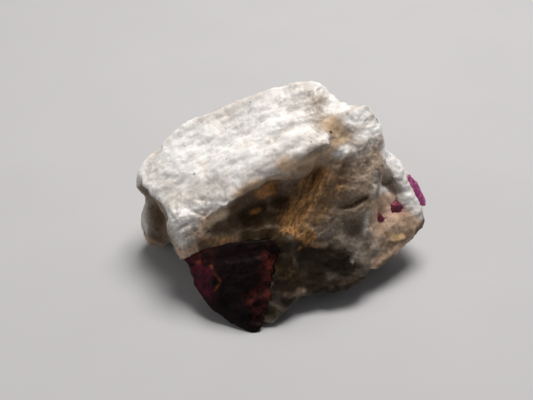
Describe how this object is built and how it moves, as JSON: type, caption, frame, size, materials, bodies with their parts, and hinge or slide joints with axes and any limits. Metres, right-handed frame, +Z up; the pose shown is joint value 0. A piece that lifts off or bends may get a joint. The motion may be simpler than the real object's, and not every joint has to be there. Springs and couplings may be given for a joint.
{
  "type": "ruby cluster on matrix",
  "caption": "Free-standing mineral specimen: a broken block of coarse white marble with dark red ruby crystals set in its front edge and its side.",
  "frame": {"origin": "under the middle of the specimen's bounding box, on the surface it rests on", "axes": "+X to the viewer's right along the block's length, +Y away from the viewer towards the plain back, +Z up; the large ruby faces -Y"},
  "size_m": [0.0332, 0.0236, 0.0199],
  "materials": {
    "marble": "rough, sugary break with brown iron stain",
    "ruby_dark": "glassy broken faces, nearly opaque dark red",
    "ruby_pink": "glassy, cloudy pink to purple"
  },
  "bodies": {
    "root": {"marble_matrix": "marble", "ruby_front": "ruby_dark", "ruby_east_edge": "ruby_pink", "ruby_grain_upper": "ruby_dark", "ruby_grain_lower": "ruby_dark"}
  },
  "joints": []
}
